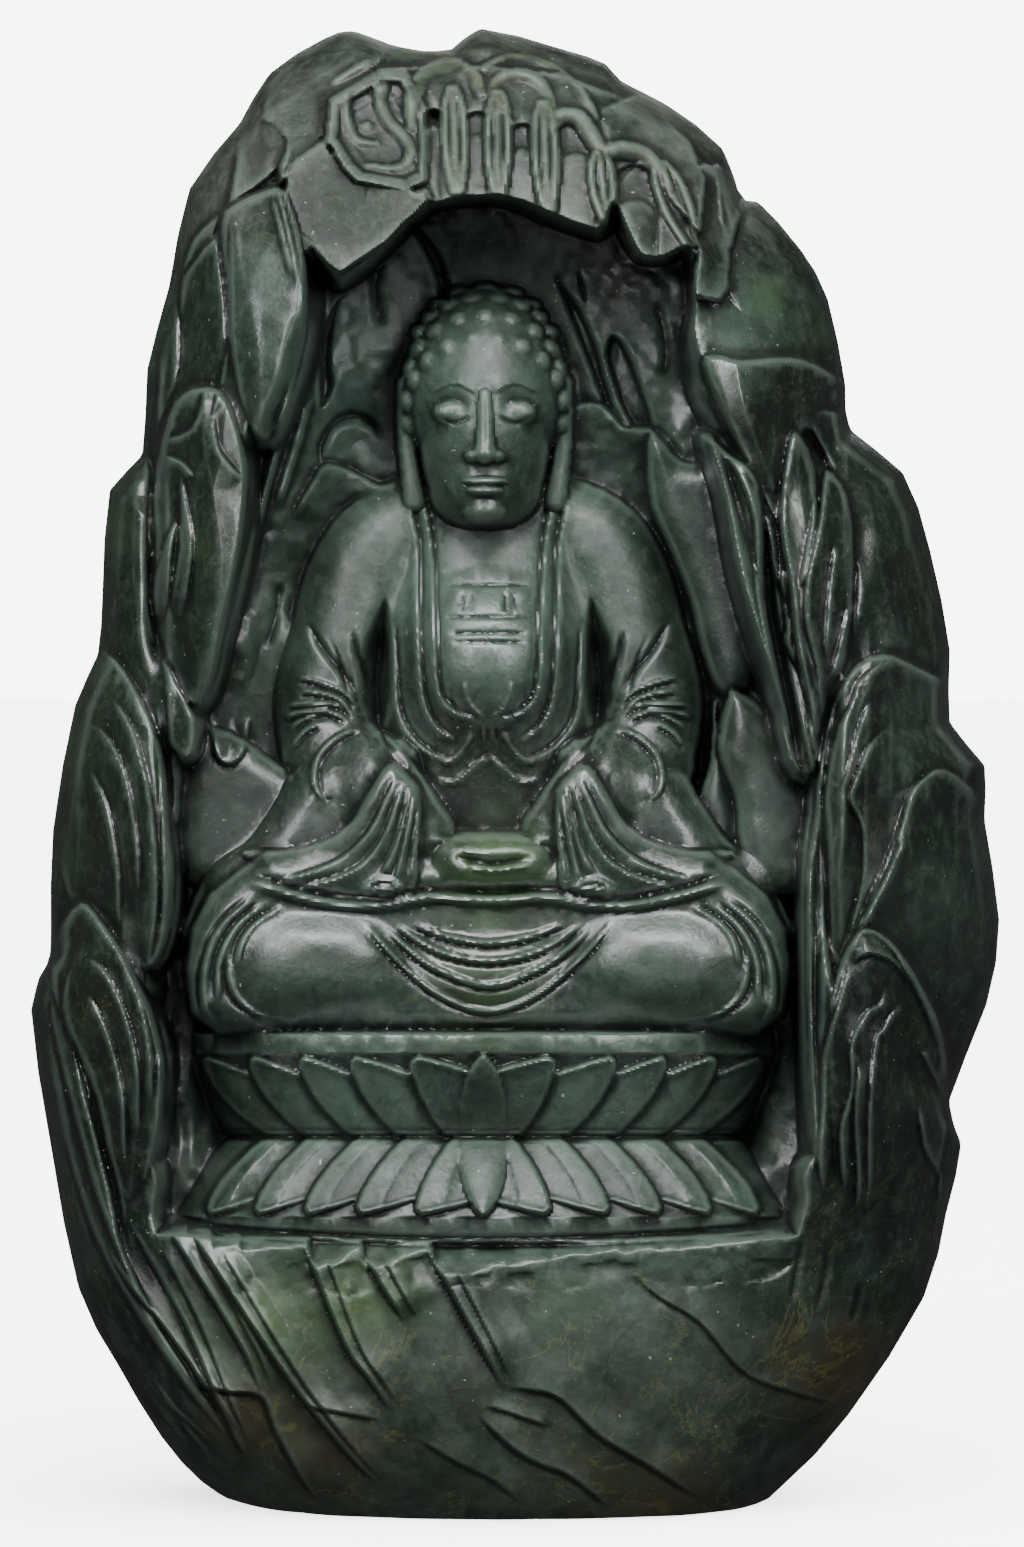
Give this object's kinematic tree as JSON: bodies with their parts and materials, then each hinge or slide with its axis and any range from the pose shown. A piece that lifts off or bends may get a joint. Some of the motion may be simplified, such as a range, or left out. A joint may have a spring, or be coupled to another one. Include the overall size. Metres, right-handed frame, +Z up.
{
  "type": "jade boulder carving",
  "caption": "Upright nephrite boulder carved in front as a grotto with a seated meditating figure on a double lotus throne, under a pine overhang and between leaf-shaped crags.",
  "frame": {"origin": "middle of the bounding box on the flat sawn underside", "axes": "+Z up, the carved front faces -Y, +X to the viewer's right"},
  "size_m": [0.1938, 0.1062, 0.2938],
  "materials": {
    "jade_boulder": "polished dark spinach-green nephrite with russet veins"
  },
  "bodies": {
    "root": {"jade_boulder": "jade_boulder"}
  },
  "joints": []
}
